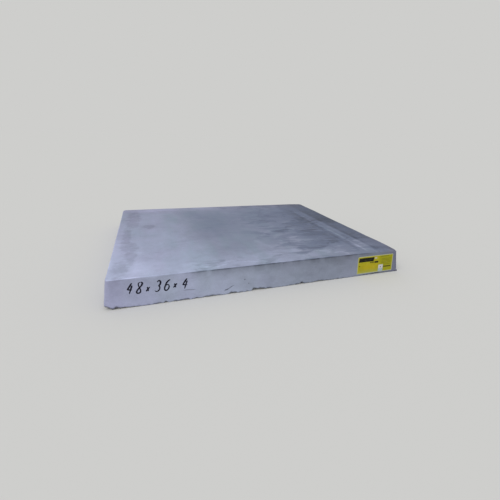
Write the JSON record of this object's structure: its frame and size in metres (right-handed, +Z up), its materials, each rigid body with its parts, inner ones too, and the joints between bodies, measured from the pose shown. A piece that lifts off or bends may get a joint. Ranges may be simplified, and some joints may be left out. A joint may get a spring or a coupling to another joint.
{
  "type": "equipment pad",
  "caption": "Flat rectangular pad with a foam core and a skin of glass-fibre reinforced cement, laid on the ground to carry outdoor equipment clear of it.",
  "frame": {"origin": "centre of the underside, at ground level", "axes": "+X along the front from left to right, +Y from the front to the back, +Z up"},
  "size_m": [1.2192, 0.9144, 0.1016],
  "materials": {
    "face_cement": "rough",
    "backing_cement": "rough",
    "foam": "rough",
    "glass_mesh": "satin",
    "label_film": "satin",
    "sticker_paper": "matte",
    "marker_ink": "matte"
  },
  "bodies": {
    "root": {"face_coat": "face_cement", "backing_coat": "backing_cement", "foam_core": "foam", "top_mesh": "glass_mesh", "front_edge_mesh": "glass_mesh", "back_edge_mesh": "glass_mesh", "left_edge_mesh": "glass_mesh", "right_edge_mesh": "glass_mesh", "front_left_corner_mesh": "glass_mesh", "front_right_corner_mesh": "glass_mesh", "back_left_corner_mesh": "glass_mesh", "back_right_corner_mesh": "glass_mesh", "product_label": "label_film", "batch_sticker": "sticker_paper"}
  },
  "joints": []
}
